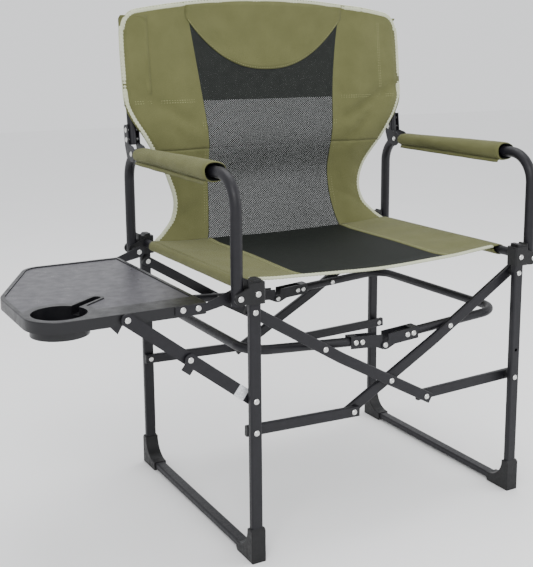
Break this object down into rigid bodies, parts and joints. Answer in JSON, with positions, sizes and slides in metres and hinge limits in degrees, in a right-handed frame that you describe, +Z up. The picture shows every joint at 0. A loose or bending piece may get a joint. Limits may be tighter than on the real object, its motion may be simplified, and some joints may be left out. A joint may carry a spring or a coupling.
{
  "type": "folding chair with side table",
  "caption": "Folding camping armchair with a fabric seat and back, padded arms, cross-braced tube frame and a folding side table with a cup holder.",
  "frame": {"origin": "on the floor, midway between the left and right feet and midway between the front and rear feet", "axes": "+Z up; the sitter faces -Y; +X is the sitter's left-hand side seen from the front as right, and the table is on the -X side"},
  "size_m": [0.929, 0.4772, 0.9194],
  "materials": {
    "frame_black": "satin",
    "plastic_black": "matte",
    "rivet_steel": "satin",
    "fabric_olive": "matte",
    "table_top": "satin",
    "table_skirt": "satin",
    "reflective": "satin"
  },
  "bodies": {
    "left_side": {"leg_tube_left": "frame_black", "feet_left": "plastic_black", "caps_left": "plastic_black", "seat_rail_left": "frame_black", "arm_tube_left": "frame_black", "arm_pad_left": "fabric_olive", "rivets_left": "rivet_steel", "spacers_left": "plastic_black", "seat_sling": "fabric_olive", "lower_back_sling": "fabric_olive"},
    "right_side": {"leg_tube_right": "frame_black", "feet_right": "plastic_black", "caps_right": "plastic_black", "seat_rail_right": "frame_black", "arm_tube_right": "frame_black", "arm_pad_right": "fabric_olive", "rivets_right": "rivet_steel", "spacers_right": "plastic_black"},
    "bars_a": {"bar_a_front": "frame_black", "bar_a_rear": "frame_black", "bar_a_plugs": "plastic_black", "bar_rivets_a": "rivet_steel", "loop_spacers_left": "plastic_black"},
    "bars_b": {"bar_b_front": "frame_black", "bar_b_rear": "frame_black", "bar_b_plugs": "plastic_black", "bar_rivets_b": "rivet_steel", "loop_spacers_right": "plastic_black"},
    "links_left": {"link_left_front": "frame_black", "link_left_rear": "frame_black", "link_left_plugs": "plastic_black", "link_rivets_left": "rivet_steel"},
    "links_right": {"link_right_front": "frame_black", "link_right_rear": "frame_black", "link_right_plugs": "plastic_black", "link_rivets_right": "rivet_steel"},
    "loop_left": {"loop_tube_left": "frame_black", "loop_brackets_left": "frame_black", "loop_rivets_left": "rivet_steel"},
    "loop_right": {"loop_tube_right": "frame_black", "loop_brackets_right": "frame_black", "loop_rivets_right": "rivet_steel"},
    "back_left": {"upright_left": "frame_black", "back_bracket_left": "frame_black", "back_rivets_left": "rivet_steel", "upper_back_sling": "fabric_olive"},
    "back_right": {"upright_right": "frame_black", "back_bracket_right": "frame_black", "back_rivets_right": "rivet_steel"},
    "table": {"table_tray": "table_skirt", "table_panel": "table_top", "table_bracket_front": "frame_black", "table_bracket_rear": "frame_black", "table_rivets": "rivet_steel", "table_hook": "frame_black"},
    "strut_upper": {"strut_upper": "frame_black"},
    "strut_lower": {"strut_lower": "frame_black", "strut_rivet": "rivet_steel", "reflective_tape": "reflective"}
  },
  "joints": [
    {"name": "frame_fold", "type": "hinge", "parent": "left_side", "child": "bars_a", "pos_m": [-0.27, 0, 0.417], "axis": [0, 1, 0], "range_deg": [0, 47.8], "deforming": ["seat_sling", "lower_back_sling", "upper_back_sling"]},
    {"name": "bars_crossing", "type": "hinge", "parent": "bars_a", "child": "bars_b", "pos_m": [0, 0, 0.2566], "axis": [0, 1, 0], "range_deg": [-95.7, 0]},
    {"name": "bars_to_right", "type": "hinge", "parent": "bars_b", "child": "right_side", "pos_m": [0.27, 0, 0.417], "axis": [0, 1, 0], "range_deg": [0, 47.9]},
    {"name": "links_left_pivot", "type": "hinge", "parent": "left_side", "child": "links_left", "pos_m": [-0.27, 0, 0.22], "axis": [0, 1, 0], "range_deg": [0, 76.2]},
    {"name": "links_right_pivot", "type": "hinge", "parent": "right_side", "child": "links_right", "pos_m": [0.27, 0, 0.22], "axis": [0, 1, 0], "range_deg": [-76.2, 0]},
    {"name": "loop_left_pivot", "type": "hinge", "parent": "bars_a", "child": "loop_left", "pos_m": [-0.13387, 0, 0.33292], "axis": [0, 1, 0], "range_deg": [-131.3, 0]},
    {"name": "loop_right_pivot", "type": "hinge", "parent": "bars_b", "child": "loop_right", "pos_m": [0.13387, 0, 0.33292], "axis": [0, 1, 0], "range_deg": [0, 131.3]},
    {"name": "back_fold", "type": "hinge", "parent": "left_side", "child": "back_left", "pos_m": [-0.298, 0.176, 0.63], "axis": [1, 0, 0], "range_deg": [0, 92]},
    {"name": "back_fold_right", "type": "hinge", "parent": "right_side", "child": "back_right", "pos_m": [0.298, 0.176, 0.63], "axis": [1, 0, 0], "range_deg": [0, 92.2]},
    {"name": "table_fold", "type": "hinge", "parent": "left_side", "child": "table", "pos_m": [-0.298, 0, 0.443], "axis": [0, -1, 0], "range_deg": [0, 80]},
    {"name": "strut_head", "type": "hinge", "parent": "table", "child": "strut_upper", "pos_m": [-0.472, -0.2125, 0.429], "axis": [0, -1, 0], "range_deg": [0, 55.5]},
    {"name": "strut_foot", "type": "hinge", "parent": "left_side", "child": "strut_lower", "pos_m": [-0.27, -0.2169, 0.2725], "axis": [0, -1, 0], "range_deg": [-25.4, 0]}
  ],
  "couplings": [
    {"joint": "bars_crossing", "follows": "frame_fold", "ratio": -2},
    {"joint": "bars_to_right", "follows": "frame_fold", "ratio": 1},
    {"joint": "links_left_pivot", "follows": "frame_fold", "ratio": 1.5908},
    {"joint": "links_right_pivot", "follows": "frame_fold", "ratio": -1.5908},
    {"joint": "loop_left_pivot", "follows": "frame_fold", "ratio": -2.743},
    {"joint": "loop_right_pivot", "follows": "frame_fold", "ratio": 2.743},
    {"joint": "back_fold_right", "follows": "back_fold", "ratio": 1},
    {"joint": "strut_head", "follows": "table_fold", "ratio": 0.691},
    {"joint": "strut_foot", "follows": "table_fold", "ratio": -0.315}
  ]
}
